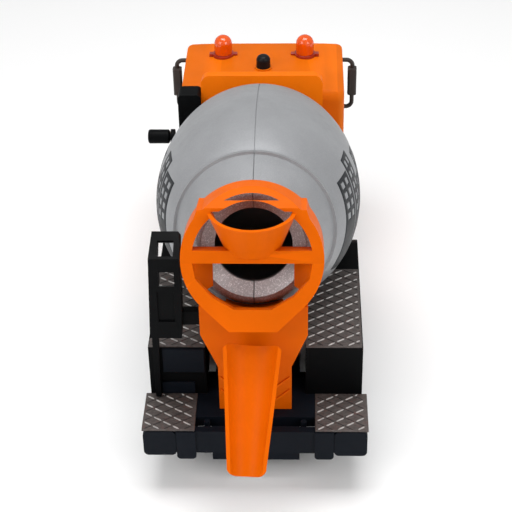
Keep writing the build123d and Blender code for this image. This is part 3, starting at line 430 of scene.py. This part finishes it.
# ---- tread plates ----
# Half-diagonals of the ridge pattern's diamonds, the plain border round it, and the least share of a ridge
# that is kept where the border cuts it.
LATTICE = (4.95 * MM, 3.25 * MM)
BORDER = 0.6 * MM
SHORTEST_PART = 0.35


def inside_part(start, end, low, high):
    """The part of a line from start to end that lies inside a rectangle, or None."""
    near, far = 0.0, 1.0
    along = end - start
    for k in range(2):
        a = (low[k] - start[k]) / along[k]
        b = (high[k] - start[k]) / along[k]
        near, far = max(near, min(a, b)), min(far, max(a, b))
    if far - near < SHORTEST_PART:
        return None
    return start + along * near, start + along * far


def ridge(work, start, end, base, height, width):
    """A low bar with sloping flanks and pointed ends."""
    along = (end - start).normalized()
    across = Vector((-along.y, along.x))
    tip = along * width * 0.8
    half = across * width / 2
    foot = [start, start + tip + half, end - tip + half, end, end - tip - half, start + tip - half]
    crown = [start + tip * 0.6, start + tip * 1.2 + half * 0.45, end - tip * 1.2 + half * 0.45,
             end - tip * 0.6, end - tip * 1.2 - half * 0.45, start + tip * 1.2 - half * 0.45]
    low = [work.verts.new((*p, base)) for p in foot]
    top = [work.verts.new((*p, base + height)) for p in crown]
    for i in range(6):
        j = (i + 1) % 6
        work.faces.new((low[i], low[j], top[j], top[i]))
    work.faces.new(top)
    work.faces.new(reversed(low))


def tread_ridges(node, lean, look, width, height):
    """One direction of a plate's ridge lattice, kept off the drum's cut-out."""
    low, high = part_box(node)
    plate = bmesh.new()
    plate.from_mesh(NODES[node].data)
    tree = BVHTree.FromBMesh(plate)
    plate.free()
    margin = Vector((BORDER, BORDER))
    corner, limit = low.xy + margin, high.xy - margin
    along = Vector((LATTICE[0], lean * LATTICE[1]))
    across = Vector((LATTICE[0], -lean * LATTICE[1]))
    count = int((high - low).length / LATTICE[1])
    work = bmesh.new()
    for i in range(-count, count):
        for j in range(-count, count):
            start = low.xy + along * i + across * j
            part = inside_part(start, start + along, corner, limit)
            if part is None:
                continue
            if all(tree.ray_cast((*p, high.z + MM), (0, 0, -1))[0] for p in part):
                gap = (part[1] - part[0]) * 0.07
                ridge(work, part[0] + gap, part[1] - gap, high.z - 0.1 * MM, height, width)
    bmesh.ops.recalc_face_normals(work, faces=work.faces)
    mesh = bpy.data.meshes.new(f"{node}_{look}")
    work.to_mesh(mesh)
    work.free()
    return add_object(f"{node}_{look}", mesh, look, body_of(node))


def tread_plates():
    """Grey film plates with pale ridges one way as painted highlight and dark ridges the other way as painted
    shade, mirrored left to right.
    """
    for word, lean in (("left", -1), ("right", 1)):
        for level in ("upper", "lower"):
            node = f"tread_{level}_{word}"
            # Painted highlight on the ridges leaning one way, painted shade on the ridges leaning the other.
            tread_ridges(node, lean, "tread_painted_highlight", 0.95 * MM, 0.42 * MM)
            tread_ridges(node, -lean, "tread_painted_shade", 0.55 * MM, 0.32 * MM)


# ---- spring ----
def press_spring():
    """Give the button's spring a mesh of its own; its shape is left as it is."""
    spring = bpy.data.objects["button_spring_skin"]
    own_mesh(spring)


# ---- stage, light and camera ----
def studio():
    """Pale floor, and a white surround that dims a little towards the zenith."""
    work = bmesh.new()
    bmesh.ops.create_grid(work, x_segments=1, y_segments=1, size=3.0)
    mesh = bpy.data.meshes.new("floor")
    work.to_mesh(mesh)
    work.free()
    floor = bpy.data.objects.new("floor", mesh)
    bpy.context.scene.collection.objects.link(floor)
    shader = Shader("floor", Roughness=0.6)
    shader.link(shader.blend(shader.noise(0.4), (0.95, 0.95, 0.95), (0.96, 0.96, 0.96)),
                shader.surface.inputs["Base Color"])
    mesh.materials.append(shader.material)
    world = bpy.data.worlds.new("surround")
    world.use_nodes = True
    tree = world.node_tree
    height = tree.nodes.new("ShaderNodeSeparateXYZ")
    tree.links.new(tree.nodes.new("ShaderNodeTexCoord").outputs["Generated"], height.inputs["Vector"])
    sky = tree.nodes.new("ShaderNodeMapRange")
    sky.inputs["To Min"].default_value = 0.55
    sky.inputs["To Max"].default_value = 0.45
    tree.links.new(height.outputs["Z"], sky.inputs["Value"])
    tree.nodes["Background"].inputs["Color"].default_value = (1.0, 1.0, 1.0, 1.0)
    tree.links.new(sky.outputs["Result"], tree.nodes["Background"].inputs["Strength"])
    bpy.context.scene.world = world
    bpy.context.scene.view_settings.view_transform = "Standard"


def soft_box(name, place, target, size, power):
    light = bpy.data.lights.new(name, "AREA")
    light.shape = "RECTANGLE"
    light.size, light.size_y = size
    light.energy = power
    lamp = bpy.data.objects.new(name, light)
    lamp.location = place
    lamp.rotation_euler = (Vector(target) - Vector(place)).to_track_quat("-Z", "Y").to_euler()
    bpy.context.scene.collection.objects.link(lamp)


def lights():
    """Three soft boxes aimed at the middle of the truck: place, target, size in metres, power in watts."""
    middle = (0, -0.03, 0.08)
    soft_box("key", (-0.65, -0.6, 0.6), middle, (0.5, 0.5), 3.0)
    soft_box("fill", (0.7, -0.65, 0.55), middle, (0.5, 0.5), 2.7)
    soft_box("top", (0.0, -0.02, 1.0), middle, (0.7, 0.45), 6.6)


def camera():
    """Viewpoint behind, above and close, with a slight turn and roll."""
    lens = bpy.data.cameras.new("camera")
    lens.sensor_width = 36.0
    lens.lens = 97.9
    eye = bpy.data.objects.new("camera", lens)
    pitch, turn, roll = math.radians(35.0), math.radians(2.33), math.radians(-1.26)
    forward = Vector((-math.sin(turn) * math.cos(pitch), math.cos(turn) * math.cos(pitch), -math.sin(pitch)))
    side = Vector((math.cos(turn), math.sin(turn), 0))
    rise = side.cross(forward)
    right = side * math.cos(roll) + rise * math.sin(roll)
    up = rise * math.cos(roll) - side * math.sin(roll)
    place = Vector((23.3, -661.2, 503.0)) * MM
    eye.matrix_world = Matrix.Translation(place) @ Matrix((right, up, -forward)).transposed().to_4x4()
    bpy.context.scene.collection.objects.link(eye)
    bpy.context.scene.camera = eye


# ---- build ----
def refine_the_rest():
    """Every other CAD node gets rounded edges, finer on thin and small pieces."""
    fine = {"crown_gear", "crank_pinion", "button_spring", "sound_board", "frame_screws", "cab_glazing",
            "battery_cells", "chute_pin", "headlight_lenses", "front_grille", "mirror_left", "mirror_right"}
    fine_edge, plain_edge = 0.08 * MM, 0.3 * MM
    for node in sorted(NODES):
        if not node.startswith("drum_shell"):
            refine(node, fine_edge if node in fine else plain_edge)


drum_halves()
drum_prints()
refine_the_rest()
tread_plates()
press_spring()
studio()
lights()
camera()
